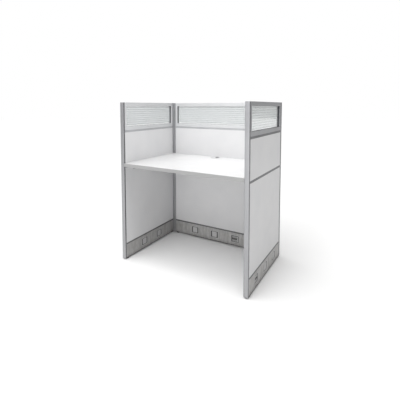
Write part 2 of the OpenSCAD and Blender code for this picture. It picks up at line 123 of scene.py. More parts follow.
floor_mesh = bpy.data.meshes.new("studio_floor")
floor_net = bmesh.new()
bmesh.ops.create_circle(floor_net, cap_ends=True, segments=96, radius=30)
floor_net.to_mesh(floor_mesh)
floor = bpy.data.objects.new("studio_floor", floor_mesh)
bpy.context.scene.collection.objects.link(floor)
floor_mesh.materials.append(new_material("floor_paint", {
    "Base Color": (0.95, 0.95, 0.95, 1), "Roughness": 0.8, "Specular IOR Level": 0.2})[0])

# ---------------------------------------------------------------------------
# Posts: satin anodised aluminium extrusions. Slim ones close the open ends of
# the side panels; square ones stand at the back, with a slot in each free side.
# The slot floors of the slim posts and the rear posts are painted dark as shade.
# The panels bolt to them through their walls.


def noise(tree, place, scale, detail, **more):
    """Noise read at place, from 0 to 1."""
    return add_node(tree, "ShaderNodeTexNoise", {
        "Vector": place, "Scale": scale, "Detail": detail, **more}).outputs["Fac"]


def remap(tree, value, low, high, to_low=0.0, to_high=1.0):
    """The value's run from low to high, spread from to_low to to_high."""
    return add_node(tree, "ShaderNodeMapRange", {
        "Value": value, "From Min": low, "From Max": high, "To Min": to_low,
        "To Max": to_high}).outputs[0]


def product(tree, first, second, **settings):
    """Two values multiplied; each is a number or another node's output."""
    return add_node(tree, "ShaderNodeMath", {0: first, 1: second}, operation="MULTIPLY",
                    **settings).outputs[0]


def object_place(tree):
    """Where each point lies on the carrel, for patterns that stay with it."""
    return add_node(tree, "ShaderNodeTexCoord").outputs["Object"]


def pulled(tree, place, stretch):
    """The place scaled along each axis, so that what is read there is drawn out."""
    return add_node(tree, "ShaderNodeVectorMath", {0: place, 1: stretch},
                    operation="MULTIPLY").outputs[0]


def new_group(name, takes, gives):
    """A shader group with named inputs (kind, default) and named outputs."""
    tree = bpy.data.node_groups.new(name, "ShaderNodeTree")
    for title, (kind, default) in takes.items():
        socket = tree.interface.new_socket(title, in_out="INPUT", socket_type=kind)
        socket.default_value = default
    for title, kind in gives.items():
        tree.interface.new_socket(title, in_out="OUTPUT", socket_type=kind)
    return tree, tree.nodes.new("NodeGroupInput"), tree.nodes.new("NodeGroupOutput")


def make_grain_group():
    """Drawn or moulded grain: noise pulled out along Stretch, as a tone and a height."""
    tree, given, out = new_group(
        "surface_grain",
        {"Scale": ("NodeSocketFloat", 400.0), "Stretch": ("NodeSocketVector", (1, 1, 1)),
         "Blotch": ("NodeSocketFloat", 6.0), "Blotch Stretch": ("NodeSocketVector", (1, 1, 1))},
        {"Tone": "NodeSocketFloat", "Height": "NodeSocketFloat", "Patch": "NodeSocketFloat"})
    place = object_place(tree)
    fine = noise(tree, pulled(tree, place, given.outputs["Stretch"]), given.outputs["Scale"],
                 4.0, Roughness=0.6)
    broad = noise(tree, pulled(tree, place, given.outputs["Blotch Stretch"]),
                  given.outputs["Blotch"], 3.0, Roughness=0.5)
    feed(tree, out, {"Tone": remap(tree, fine, 0.3, 0.7), "Height": fine,
                     "Patch": remap(tree, broad, 0.32, 0.68)})
    return tree


def make_wear_group():
    """Rubbed edges: a mask where the surface turns a corner, broken up by noise."""
    tree, given, out = new_group(
        "edge_wear",
        {"Reach": ("NodeSocketFloat", 0.0015), "Amount": ("NodeSocketFloat", 1.0),
         "Break Up": ("NodeSocketFloat", 60.0)},
        {"Mask": "NodeSocketFloat"})
    rounded = add_node(tree, "ShaderNodeBevel", {"Radius": given.outputs["Reach"]}, samples=4)
    flat = add_node(tree, "ShaderNodeNewGeometry")
    turn = add_node(tree, "ShaderNodeVectorMath",
                    {0: rounded.outputs["Normal"], 1: flat.outputs["Normal"]},
                    operation="DOT_PRODUCT")
    corner = remap(tree, turn.outputs["Value"], 0.995, 0.8)
    spots = noise(tree, object_place(tree), given.outputs["Break Up"], 5.0)
    rubbed = product(tree, corner, remap(tree, spots, 0.38, 0.62))
    mask = product(tree, rubbed, given.outputs["Amount"], use_clamp=True)
    feed(tree, out, {"Mask": mask})
    return tree


def make_dust_and_shade_group():
    """Handling: soft smudges, and darkening towards the floor: dust, and painted shade on the
    raceways.
    """
    tree, given, out = new_group(
        "handling_dust_and_shade",
        {"Smudge Scale": ("NodeSocketFloat", 9.0), "Floor Reach": ("NodeSocketFloat", 0.25)},
        {"Smudge": "NodeSocketFloat", "Dust And Shade": "NodeSocketFloat"})
    place = object_place(tree)
    height = add_node(tree, "ShaderNodeSeparateXYZ", {0: place}).outputs["Z"]
    near = remap(tree, height, given.outputs["Floor Reach"], 0.0)
    cloud = noise(tree, place, given.outputs["Smudge Scale"], 6.0, Roughness=0.62, Distortion=0.4)
    feed(tree, out, {"Smudge": remap(tree, cloud, 0.42, 0.7),
                     "Dust And Shade": product(tree, near, noise(tree, place, 180.0, 3.0))})
    return tree


grain_group = make_grain_group()
wear_group = make_wear_group()
dust_and_shade_group = make_dust_and_shade_group()


def mix_colour(tree, factor, first, second, blend="MIX"):
    """A colour mix; factor, first and second are values or other nodes' outputs."""
    mix = add_node(tree, "ShaderNodeMix", data_type="RGBA", blend_type=blend)
    for socket, value in ((mix.inputs[0], factor), (mix.inputs[6], first), (mix.inputs[7], second)):
        if isinstance(value, bpy.types.NodeSocket):
            tree.links.new(value, socket)
        else:
            socket.default_value = value if isinstance(value, float) else (*value, 1)
    return mix.outputs[2]


def finish_coat(name, colour, worn, roughness, metallic=0.0, grain=400.0, stretch=(1, 1, 1),
                depth=0.05, depth_unit=0.0004, tone=0.06, wear=0.5, reach=0.0012,
                rough_swing=0.12, specular=0.5, blotch=6.0, blotch_stretch=(1, 1, 1),
                blotch_tone=(0.955, 0.958, 0.962), dust_and_shade=0.25, dust_and_shade_reach=0.25,
                dust_and_shade_tone=(0.55, 0.54, 0.52)):
    """A surface finish: grain in colour, roughness and bump, rubbed edges, smudges, and darkening
    towards the floor: dust, and painted shade on the raceways.
    """
    paint, tree, shader = new_material(name, {
        "Metallic": metallic, "Specular IOR Level": specular})
    marks = add_node(tree, "ShaderNodeGroup", node_tree=grain_group)
    feed(tree, marks, {"Scale": grain, "Stretch": stretch, "Blotch": blotch,
                       "Blotch Stretch": blotch_stretch})
    rubbed = add_node(tree, "ShaderNodeGroup", node_tree=wear_group)
    feed(tree, rubbed, {"Reach": reach, "Amount": wear})
    used = add_node(tree, "ShaderNodeGroup", node_tree=dust_and_shade_group)
    feed(tree, used, {"Floor Reach": dust_and_shade_reach})
    tint = marks.outputs["Tone"]
    low = [c * (1 - tone) for c in colour]
    high = [min(1.0, c * (1 + tone)) for c in colour]
    toned = mix_colour(tree, tint, low, high)
    patched = mix_colour(tree, marks.outputs["Patch"], toned, blotch_tone, "MULTIPLY")
    dusted_and_shaded = mix_colour(tree, product(tree, used.outputs["Dust And Shade"], dust_and_shade), patched, dust_and_shade_tone)
    edged = mix_colour(tree, rubbed.outputs["Mask"], dusted_and_shaded, worn)
    swing = remap(tree, tint, 0.0, 1.0, roughness - rough_swing / 2, roughness + rough_swing / 2)
    smudged = product(tree, used.outputs["Smudge"], rough_swing)
    total = add_node(tree, "ShaderNodeMath", {0: swing, 1: smudged}, operation="ADD",
                     use_clamp=True)
    bump = add_node(tree, "ShaderNodeBump", {
        "Strength": depth, "Distance": depth_unit, "Height": marks.outputs["Height"]})
    feed(tree, shader, {"Base Color": edged, "Roughness": total.outputs[0],
                        "Normal": bump.outputs[0]})
    return paint


def bake_modifiers(piece):
    """Replaces the piece's mesh with what its modifiers make of it."""
    ready = piece.evaluated_get(bpy.context.evaluated_depsgraph_get())
    mesh = bpy.data.meshes.new_from_object(ready)
    mesh.name = piece.name
    piece.modifiers.clear()
    piece.data = mesh


def soften(piece, width, segments, angle=40):
    """Rounds the edges that turn by more than that angle."""
    rounding = piece.modifiers.new("soften", "BEVEL")
    rounding.width = width
    rounding.segments = segments
    rounding.limit_method = "ANGLE"
    rounding.angle_limit = math.radians(angle)
    bake_modifiers(piece)


def shade_round(piece):
    """Smooth shading that keeps the sharp edges."""
    piece.data.shade_smooth()
    piece.data.set_sharp_from_angle(angle=math.radians(35))


def settle(net, name, paint, edge=0.0, steps=2, smooth=False):
    """Turns a bmesh into an object with outward faces and rounded or smooth edges."""
    bmesh.ops.remove_doubles(net, verts=net.verts, dist=1e-6)
    bmesh.ops.recalc_face_normals(net, faces=net.faces)
    mesh = bpy.data.meshes.new(name)
    net.to_mesh(mesh)
    net.free()
    piece = bpy.data.objects.new(name, mesh)
    bpy.context.scene.collection.objects.link(piece)
    if edge > 0:
        soften(piece, edge, steps)
    if smooth:
        shade_round(piece)
    piece.data.materials.clear()
    piece.data.materials.append(paint)
    return piece


def stand_for(piece, body, slot, *replaced):
    """The piece moves with that body and is shown in place of those nodes."""
    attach(piece, body)
    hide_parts(*replaced)


def arc(x, y, radius, start, end, steps=6):
    """Points of an arc about x, y, from one angle to the other in degrees."""
    turns = [math.radians(start + (end - start) * i / steps) for i in range(steps + 1)]
    return [(x + radius * math.cos(t), y + radius * math.sin(t)) for t in turns]


def join_rings(net, rings, ends=False):
    """Walls from each ring of corners to the next; ends closes the first and the last."""
    for ring, following in zip(rings, rings[1:]):
        for i in range(len(ring)):
            j = (i + 1) % len(ring)
            net.faces.new((ring[i], ring[j], following[j], following[i]))
    if ends:
        net.faces.new(list(reversed(rings[0])))
        net.faces.new(rings[-1])


def upright_rings(net, outline, low, high):
    """An outline's corners at the low height and at the high one."""
    return [[net.verts.new((x, y, z)) for x, y in outline] for z in (low, high)]


def repaint_where(piece, paint, chosen):
    """Gives another finish to the faces that pass the test."""
    piece.data.materials.append(paint)
    index = len(piece.data.materials) - 1
    for face in piece.data.polygons:
        if chosen(face):
            face.material_index = index


def slotted_side(length, slot, cut):
    """One side of a section from 0 to length, with a slot of that width let in: (along, in)."""
    a, b = (length - slot) / 2, (length + slot) / 2
    lead = 0.4 * MM
    return [(a - lead, 0), (a, lead), (a, cut), (b, cut), (b, lead), (b + lead, 0)]


def post_outline(half_x, half_y, radius, slots, cut):
    """Section of a post. slots gives the slot's width on its front, right, back and left."""
    corners = ((-half_x, -half_y, 180), (half_x, -half_y, 270), (half_x, half_y, 0),
               (-half_x, half_y, 90))
    points = []
    for i, (x, y, turn) in enumerate(corners):
        centre = (x - math.copysign(radius, x), y - math.copysign(radius, y))
        points += arc(*centre, radius, turn, turn + 90, 5)
        following = corners[(i + 1) % 4]
        if slots[i]:
            run = Vector((following[0] - x, following[1] - y))
            ahead = run.normalized()
            inward = Vector((-ahead.y, ahead.x))
            for along, deep in slotted_side(run.length, slots[i], cut):
                points.append(tuple(Vector((x, y)) + ahead * along + inward * deep))
    return points


anodised_post = finish_coat(
    "anodised_post", (0.385, 0.388, 0.40), (0.74, 0.74, 0.75), 0.42, metallic=0.7,
    grain=900, stretch=(1, 1, 0.012), depth=0.25, tone=0.07, wear=0.8, reach=0.002,
    blotch=30, blotch_stretch=(1, 1, 0.04), blotch_tone=(0.9, 0.9, 0.91))
# Painted shade: a dark finish for the floors of the post slots.
slot_floor_shade = finish_coat(
    "slot_floor_shade", (0.085, 0.087, 0.092), (0.16, 0.16, 0.16), 0.55, grain=900,
    stretch=(1, 1, 0.05), depth=0.3, tone=0.15, wear=0.2)


def make_post(node, radius, slots, cut, shade_slots):
    """A hollow upright with slots, whose floors can be painted dark as shade."""
    low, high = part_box(node)
    centre, half = (low + high) / 2, (high - low) / 2
    wall, close = 2 * MM, 0.1 * MM
    outline = post_outline(half.x, half.y, radius, slots, cut)
    inner = post_outline(half.x - wall, half.y - wall, 0.8 * MM, (0, 0, 0, 0), 0)
    net = bmesh.new()
    shells = [upright_rings(net, [(centre.x + a, centre.y + b) for a, b in shape], low.z, high.z)
              for shape in (outline, inner)]
    for rings in shells:
        join_rings(net, rings)
    for pair in zip(*shells):
        edges = [net.edges.get((ring[i - 1], ring[i])) for ring in pair for i in range(len(ring))]
        bmesh.ops.triangle_fill(net, edges=edges, use_beauty=True)
    post = settle(net, node + "_extrusion", anodised_post, smooth=True)

    def in_slot(face):
        a, b = abs(face.center.x - centre.x), abs(face.center.y - centre.y)
        sunk_x = abs(a - half.x + cut) < close and b < half.y - wall
        sunk_y = abs(b - half.y + cut) < close and a < half.x - wall
        return sunk_x or sunk_y

    # Painted shade: the floors of the slots get the dark finish.
    if shade_slots:
        repaint_where(post, slot_floor_shade, in_slot)
    stand_for(post, "carrel", "anodised_post", node)


for side in ("left", "right"):
    slim_slot, square_slot = 9 * MM, 10 * MM
    make_post("front_post_" + side, 3 * MM, (0, slim_slot, 0, slim_slot), 1.2 * MM, True)
    make_post("rear_post_" + side, 2 * MM, (0, square_slot, square_slot, square_slot),
              1.2 * MM, True)
    make_post("wall_post_" + side, 2 * MM, (square_slot, 0, square_slot, 0), 0.5 * MM, False)

# ---------------------------------------------------------------------------
# Post caps: moulded grey caps, slightly domed, pressed into the six posts.
# They close the extrusions flush with the tops of the windows.
cap_moulding = finish_coat(
    "cap_moulding", (0.36, 0.365, 0.38), (0.5, 0.5, 0.5), 0.55, grain=1400, depth=0.2,
    tone=0.05, wear=0.3)


def merged_copy(node):
    """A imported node's mesh with its loose triangles merged."""
    net = bmesh.new()
    net.from_mesh(nodes[node].data)
    bmesh.ops.remove_doubles(net, verts=net.verts, dist=1e-5)
    return net


def loose_boxes(node):
    """The box of each separate solid in a node."""
    net = merged_copy(node)
    left, found = set(net.verts), []
    while left:
        edge, island = [left.pop()], []
        while edge:
            vert = edge.pop()
            island.append(vert.co.copy())
            for link in vert.link_edges:
                other = link.other_vert(vert)
                if other in left:
                    left.remove(other)
                    edge.append(other)
        found.append((Vector(map(min, zip(*island))), Vector(map(max, zip(*island)))))
    net.free()
    return sorted(found, key=lambda box: tuple(round(c, 4) for c in box[0]))


net = bmesh.new()
for low, high in loose_boxes("post_caps"):
    centre, half = (low + high) / 2, (high - low) / 2
    rim, plug, corner = high.z - 2 * MM, (2.1 * MM, 1.0 * MM), 1.5 * MM
    levels = [(low.z, *plug), (rim, *plug), (rim, 0, corner), (high.z - 0.8 * MM, 0, corner),
              (high.z - 0.3 * MM, 0.5 * MM, corner), (high.z, 2.5 * MM, 1.2 * MM)]
    rings = []
    for z, inset, radius in levels:
        reach_x, reach_y = half.x - inset - radius, half.y - inset - radius
        ring = []
        for sx, sy, turn in ((1, 1, 0), (-1, 1, 90), (-1, -1, 180), (1, -1, 270)):
            ring += arc(centre.x + sx * reach_x, centre.y + sy * reach_y, radius, turn,
                        turn + 90, 4)
        rings.append([net.verts.new((a, b, z)) for a, b in ring])
    join_rings(net, rings, ends=True)
caps = settle(net, "post_caps_moulded", cap_moulding, smooth=True)
stand_for(caps, "carrel", "cap_plastic", "post_caps")

# ---------------------------------------------------------------------------
# Window frames: four aluminium bars to a panel, mitred at the corners, with a
# groove for the glass and a shallow line round each face. The inner faces are painted
# paler as light falling inside; the reveals of the uprights are painted dark as shade.
anodised_bar = finish_coat(
    "anodised_bar", (0.37, 0.373, 0.385), (0.72, 0.72, 0.73), 0.42, metallic=0.35,
    grain=700, stretch=(0.02, 0.02, 1), depth=0.22, tone=0.08, wear=0.8, reach=0.0015)
# Painted light: a paler copy of the bar finish for the faces inside the carrel.
bar_inner_painted_light = finish_coat(
    "bar_inner_painted_light", (0.66, 0.665, 0.675), (0.85, 0.85, 0.85), 0.4, metallic=0.2, grain=700,
    stretch=(0.02, 0.02, 1), depth=0.2, tone=0.05, wear=0.6, reach=0.0015)
# Black rubber for the gaskets and the grommet collar; it is also the painted shade in the reveals
# of the window uprights.
rubber_and_reveal_shade = finish_coat(
    "rubber_and_reveal_shade", (0.075, 0.077, 0.085), (0.14, 0.14, 0.14), 0.6, grain=900, depth=0.3,
    tone=0.2, wear=0.2, dust_and_shade=0.1)
SIDES = ("left", "back", "right")


def panel_place(side):
    """Turns a panel's own frame (along, across, up) into the carrel's. Inner is -across."""
    low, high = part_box("frame_" + side)
    centre = Vector(((low.x + high.x) / 2, (low.y + high.y) / 2, 0))
    turn = {"left": 90, "back": 0, "right": -90}[side]
    return Matrix.Translation(centre) @ Matrix.Rotation(math.radians(turn), 4, "Z")


def turned_box(turn, low, high):
    """The box from low to high as it lies after that turn."""
    corners = [turn @ low, turn @ high]
    return Vector(map(min, *corners)), Vector(map(max, *corners))


def panel_box(side, node):
    """A node's box in its panel's own frame."""
    return turned_box(panel_place(side).inverted(), *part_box(node))


def mitred_ring(net, upright, rail, low, high, place):
    """A frame of four bars. Both sections give matching (inward, across) points."""
    rings = []
    for along, up in ((0, 0), (1, 0), (1, 1), (0, 1)):
        ring = []
        for (side_in, across), (rail_in, _) in zip(upright, rail):
            x = high.x - side_in if along else low.x + side_in
            z = high.z - rail_in if up else low.z + rail_in
            ring.append(net.verts.new(place @ Vector((x, across, z))))
        rings.append(ring)
    join_rings(net, rings + rings[:1])


def bar_profile(half, width, groove, depth):
    """One side of the bar's section from its outer edge round to the glass groove."""
    line = 0.5 * MM
    face = [(0, -half + 0.8 * MM), (0.8 * MM, -half), (width * 0.72, -half),
            (width * 0.72 + line, -half + line), (width * 0.72 + 2 * line, -half),
            (width - 1.0 * MM, -half), (width, -half + 1.0 * MM),
            (width, -half * 0.55), (width - line, -half * 0.55 + line),
            (width, -half * 0.55 + 2 * line), (width, -groove / 2),
            (width - depth, -groove / 2)]
    return face + [(inward, -across) for inward, across in reversed(face)]


glass_lap, glass_groove = 6 * MM, 9 * MM
for side in SIDES:
    low, high = panel_box(side, "window_frame_" + side)
    glass_low, glass_high = panel_box(side, "glass_" + side)
    half = (high.y - low.y) / 2
    upright, rail = glass_low.x - low.x + glass_lap, glass_low.z - low.z + glass_lap
    net = bmesh.new()
    mitred_ring(net, bar_profile(half, upright, glass_groove, glass_groove),
                bar_profile(half, rail, glass_groove, glass_groove), low, high,
                panel_place(side))
    window = settle(net, "window_bars_" + side, anodised_bar, edge=0.25 * MM, steps=1)
    back = panel_place(side).inverted()
    turn_back = back.to_3x3()
    opening = glass_high.x - glass_lap
    # Painted light: the inner faces get the paler copy of the bar finish.
    repaint_where(window, bar_inner_painted_light, lambda face: (back @ face.center).y < -4 * MM)
    # Painted shade: the reveals of the uprights get the dark rubber finish.
    repaint_where(window, rubber_and_reveal_shade, lambda face: (
        abs((turn_back @ face.normal).x) > 0.9 and abs((back @ face.center).x) < opening + 2 * MM
        and abs((back @ face.center).y) < half * 0.54))
    stand_for(window, "carrel", "anodised_bar", "window_frame_" + side)

# ---------------------------------------------------------------------------
# Glass: a 5 mm pane in each window with its edge in the frame's groove, held
# by a black rubber channel. The pane is clear with a faint green body.


def make_glass():
    glass, tree, shader = new_material("clear_glass", {"Transmission Weight": 1.0, "IOR": 1.5})
    place = object_place(tree)
    body = mix_colour(tree, noise(tree, place, 3.0, 2.0), (0.978, 0.99, 0.987),
                      (0.985, 0.995, 0.992))
    rough = remap(tree, noise(tree, place, 11.0, 5.0, Distortion=0.6), 0.45, 0.8, 0.0, 0.02)
    wave = add_node(tree, "ShaderNodeBump", {
        "Strength": 0.01, "Distance": 0.001, "Height": noise(tree, place, 7.0, 1.0)})
    feed(tree, shader, {"Base Color": body, "Roughness": rough, "Normal": wave.outputs[0]})
    clear = add_node(tree, "ShaderNodeBsdfTransparent", {0: (0.96, 0.98, 0.975, 1)})
    ray = add_node(tree, "ShaderNodeLightPath")
    shade = add_node(tree, "ShaderNodeMixShader", {
        0: ray.outputs["Is Shadow Ray"], 1: shader.outputs[0], 2: clear.outputs[0]})
    feed(tree, tree.nodes["Material Output"], {"Surface": shade.outputs[0]})
    return glass


clear_glass = make_glass()


def repaint(node, paint):
    """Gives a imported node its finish; its shape stays as it is."""
    mesh = nodes[node].data
    mesh.materials.clear()
    mesh.materials.append(paint)
    for face in mesh.polygons:
        face.material_index = 0


for side in SIDES:
    repaint("glass_" + side, clear_glass)
repaint("glazing_gaskets", rubber_and_reveal_shade)

# ---------------------------------------------------------------------------
# Frosted film: a thin etched sheet on the inner face of each pane, white on the
# right and tinted a darker grey on the left and back as painted shade, a finger short
# of the frame all round, with nine denser lines printed across it. The lines are
# laid by a node tree, one object to a pane.


def make_film(name, thin, dense, tint):
    film, tree, shader = new_material(name, {"Specular IOR Level": 0.3})
    place = object_place(tree)
    etch = noise(tree, place, 900.0, 2.0)
    milk = mix_colour(tree, noise(tree, place, 9.0, 4.0), tint, [c * 1.05 for c in tint])
    grit = add_node(tree, "ShaderNodeBump", {"Strength": 0.2, "Distance": 0.0002, "Height": etch})
    feed(tree, shader, {
        "Base Color": milk, "Alpha": remap(tree, etch, 0.3, 0.7, thin, dense),
        "Roughness": remap(tree, etch, 0.0, 1.0, 0.55, 0.85), "Normal": grit.outputs[0]})
    return film


# Painted shade: the sheets on the left and back panes are tinted a darker grey than the near-white
# sheet on the right.
frosted_sheet = make_film("frosted_sheet", 0.34, 0.42, (0.58, 0.605, 0.61))
bright_sheet = make_film("bright_sheet", 0.50, 0.58, (0.975, 0.985, 0.99))
frosted_line = make_film("frosted_line", 0.30, 0.38, (0.54, 0.57, 0.58))
shaded_line = make_film("shaded_line", 0.30, 0.36, (0.46, 0.49, 0.495))


def geometry_tree(name, takes):
    """A geometry tree with named inputs (kind, default) and one geometry output."""
    tree = bpy.data.node_groups.new(name, "GeometryNodeTree")
    tree.interface.new_socket("Geometry", in_out="INPUT", socket_type="NodeSocketGeometry")
    for title, (kind, default) in takes.items():
        socket = tree.interface.new_socket(title, in_out="INPUT", socket_type=kind)
        if default is not None:
            socket.default_value = default
    tree.interface.new_socket("Geometry", in_out="OUTPUT", socket_type="NodeSocketGeometry")
    return tree, tree.nodes.new("NodeGroupInput"), tree.nodes.new("NodeGroupOutput")


def make_stripe_tree():
    """Stripes of one size, one above the other, as thin closed strips."""
    tree, given, out = geometry_tree("film_stripes", {
        "Length": ("NodeSocketFloat", 0.5), "Stripe": ("NodeSocketFloat", 0.01),
        "Thickness": ("NodeSocketFloat", 0.0003), "Pitch": ("NodeSocketFloat", 0.017),
        "Count": ("NodeSocketInt", 9), "Film": ("NodeSocketMaterial", None)})
    rise = add_node(tree, "ShaderNodeCombineXYZ", {"Z": given.outputs["Pitch"]})
    rows = add_node(tree, "GeometryNodeMeshLine", {
        "Count": given.outputs["Count"], "Offset": rise.outputs[0]}, mode="OFFSET")
    size = add_node(tree, "ShaderNodeCombineXYZ", {
        "X": given.outputs["Length"], "Y": given.outputs["Thickness"],
        "Z": given.outputs["Stripe"]})
    strip = add_node(tree, "GeometryNodeMeshCube", {
        "Size": size.outputs[0], "Vertices X": 12, "Vertices Y": 2, "Vertices Z": 2})
    laid = add_node(tree, "GeometryNodeInstanceOnPoints", {
        "Points": rows.outputs["Mesh"], "Instance": strip.outputs["Mesh"]})
    real = add_node(tree, "GeometryNodeRealizeInstances", {"Geometry": laid.outputs[0]})
    done = add_node(tree, "GeometryNodeSetMaterial", {
        "Geometry": real.outputs[0], "Material": given.outputs["Film"]})
    feed(tree, out, {0: done.outputs[0]})
    return tree


def grow(name, tree, values, place, seed_mesh=None):
    """Runs a geometry tree on a new object and keeps the result as a plain mesh."""
    piece = bpy.data.objects.new(name, seed_mesh or bpy.data.meshes.new(name))
    bpy.context.scene.collection.objects.link(piece)
    growing = piece.modifiers.new("grow", "NODES")
    growing.node_group = tree
    for item in tree.interface.items_tree:
        if item.in_out == "INPUT" and item.name in values:
            growing[item.identifier] = values[item.name]
    bake_modifiers(piece)
    piece.data.transform(place)
    return piece


def rounded_prism(net, low, high, radius, place, steps):
    """A block with round corners seen from the panel's face."""
    corners = ((high.x - radius, high.z - radius, 0), (low.x + radius, high.z - radius, 90),
               (low.x + radius, low.z + radius, 180), (high.x - radius, low.z + radius, 270))
    outline = []
    for x, z, turn in corners:
        outline += arc(x, z, radius, turn, turn + 90, steps)
    join_rings(net, [[net.verts.new(place @ Vector((x, y, z))) for x, z in outline]
                     for y in (low.y, high.y)], ends=True)


def block(net, x0, x1, y0, y1, z0, z1, place, radius=1.0 * MM, steps=3):
    """A block between those planes in the panel's own frame."""
    low = Vector((min(x0, x1), min(y0, y1), min(z0, z1)))
    high = Vector((max(x0, x1), max(y0, y1), max(z0, z1)))
    rounded_prism(net, low, high, radius, place, steps)


films = {"right": (bright_sheet, shaded_line, 24 * MM),
         "rest": (frosted_sheet, frosted_line, 16 * MM)}
stripe_tree = make_stripe_tree()
line_count, line_share = 9, 0.4
sheet, line, off_glass = 0.15 * MM, 0.23 * MM, 0.05 * MM
for side in SIDES:
    pane_low, pane_high = panel_box(side, "glass_" + side)
    film_paint, line_paint, margin = films["right" if side == "right" else "rest"]
    reach = pane_high.x - margin
    foot, head = pane_low.z + 12 * MM, pane_high.z - 9 * MM
    pitch = (head - foot) / line_count
    net = bmesh.new()
    inner = pane_low.y - off_glass
    block(net, -reach, reach, inner, inner - sheet, foot, head, panel_place(side))
    film = settle(net, "frosted_sheet_" + side, film_paint)
    first = Vector((0, inner - sheet / 2, foot + pitch / 2))
    lines = grow("frosted_lines_" + side, stripe_tree, {
        "Length": 2 * reach - 2 * MM, "Stripe": pitch * line_share, "Thickness": line,
        "Pitch": pitch, "Count": line_count, "Film": line_paint},
        panel_place(side) @ Matrix.Translation(first))
    for piece in (film, lines):
        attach(piece, "carrel")

# ---------------------------------------------------------------------------
# Tiles: white laminate on thin board, two above each other on both faces of a
# panel, hung on the steel frame. Their edges are lightly rounded.
tile_laminate = finish_coat(
    "tile_laminate", (0.725, 0.724, 0.73), (0.82, 0.82, 0.82), 0.46, grain=1100, depth=0.16,
    tone=0.018, wear=0.25, reach=0.001, specular=0.4, dust_and_shade=0.16)


def rounded_slab(name, low, high, paint, edge, steps=3):
    net = bmesh.new()
    bmesh.ops.create_cube(net, size=1.0)
    size, centre = high - low, (low + high) / 2
    for vert in net.verts:
        vert.co = Vector([vert.co[i] * size[i] for i in range(3)]) + centre
    return settle(net, name, paint, edge=edge, steps=steps)


for side in SIDES:
    for level in ("upper", "lower"):
        for face in ("inner", "outer"):
            node = f"{level}_tile_{side}_{face}"
            low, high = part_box(node)
            tile = rounded_slab(node + "_board", low, high, tile_laminate, 0.9 * MM)
            stand_for(tile, "carrel", "tile_laminate", node)

# ---------------------------------------------------------------------------
# Joint trims: extruded strips let in a millimetre between window, upper tile
# and lower tile, with two fine lines along each. They are painted dark on the outer
# face of a panel as shade and silver on the inner one as light falling inside.
# Painted shade and light: a dark copy of the trim finish for the outer faces, a pale one for the
# inner faces.
trim_outer_painted_shade = finish_coat(
    "trim_outer_painted_shade", (0.20, 0.203, 0.21), (0.45, 0.45, 0.46), 0.45, metallic=0.6, grain=700,
    stretch=(0.02, 0.02, 1), depth=0.2, tone=0.1, wear=0.4)
trim_inner_painted_light = finish_coat(
    "trim_inner_painted_light", (0.50, 0.505, 0.52), (0.70, 0.70, 0.71), 0.42, metallic=0.4, grain=700,
    stretch=(0.02, 0.02, 1), depth=0.2, tone=0.08, wear=0.4)


def swept(net, section, start, end, place):
    """A closed bar: section gives (across, up) points, swept along the panel."""
    join_rings(net, [[net.verts.new(place @ Vector((x, across, up))) for across, up in section]
                     for x in (start, end)], ends=True)


for side in SIDES:
    place = panel_place(side)
    back = place.inverted()
    net = bmesh.new()
    for box in loose_boxes("joint_trims_" + side):
        low, high = turned_box(back, *box)
        facing = 1 if low.y + high.y > 0 else -1
        near, far = sorted((abs(low.y), abs(high.y)))
        tall, cut = high.z - low.z, 0.6 * MM
        edge = [(near, low.z), (far, low.z)]
        for share in (0.3, 0.7):
            z = low.z + tall * share
            edge += [(far, z - cut), (far - cut, z - cut * 0.5), (far - cut, z + cut * 0.5),
                     (far, z + cut)]
        edge += [(far, high.z), (near, high.z)]
        swept(net, [(facing * y, z) for y, z in edge], low.x, high.x, place)
    trims = settle(net, "joint_strips_" + side, trim_outer_painted_shade)
    # Painted light: the inner faces get the pale copy.
    repaint_where(trims, trim_inner_painted_light, lambda face: (back @ face.center).y < 0)
    stand_for(trims, "carrel", "trim_aluminium", "joint_trims_" + side)

# ---------------------------------------------------------------------------
# Raceway covers: metallic grey extrusions with a lip along top and bottom, painted
# dark as shade, and two grooves between, clipped over the cables, with ports punched
# through. They are streaked, and painted darker towards the floor as shade along the foot.
# Painted shade: the last three values darken the cover over its lowest few centimetres, as the
# shade along the foot.
raceway_paint = finish_coat(
    "raceway_paint", (0.52, 0.515, 0.51), (0.66, 0.66, 0.66), 0.46, metallic=0.4,
    grain=240, stretch=(1, 1, 0.2), depth=0.35, depth_unit=0.0006, tone=0.14, wear=0.6,
    rough_swing=0.2, blotch=42, blotch_stretch=(1, 1, 0.3), blotch_tone=(0.74, 0.73, 0.72),
    dust_and_shade=0.9, dust_and_shade_reach=0.035, dust_and_shade_tone=(0.10, 0.095, 0.09))
# Painted shade: a dark copy of the cover finish for the top lip and the foot, also darkened towards
# the floor.
raceway_lip_painted_shade = finish_coat(
    "raceway_lip_painted_shade", (0.17, 0.17, 0.172), (0.42, 0.42, 0.42), 0.48, metallic=0.5, grain=500,
    stretch=(0.03, 0.03, 1), depth=0.25, tone=0.12, wear=0.5, dust_and_shade=0.9, dust_and_shade_reach=0.03,
    dust_and_shade_tone=(0.07, 0.066, 0.062))


def cover_section(half, low, high):
    """Section of a cover on the inner side: (across, up) points."""
    lip, foot, sunk, wall = 10 * MM, 5 * MM, 1 * MM, 1.8 * MM
    rail = -half + 5.7 * MM
    face, back = -half + sunk, -half + sunk + wall
    groove, z = 0.6 * MM, high - lip - 9 * MM
    z2 = low + foot + 8 * MM
    return [(-half, high), (-half, high - lip), (face, high - lip - sunk),
            (face, z + groove), (face + groove, z), (face, z - groove),
            (face, z2 + groove), (face + groove, z2), (face, z2 - groove),
            (face, low + foot + sunk), (-half, low + foot), (-half, low),
            (rail, low), (rail, low + wall), (back, low + wall), (back, high - wall),
            (rail, high - wall), (rail, high)]


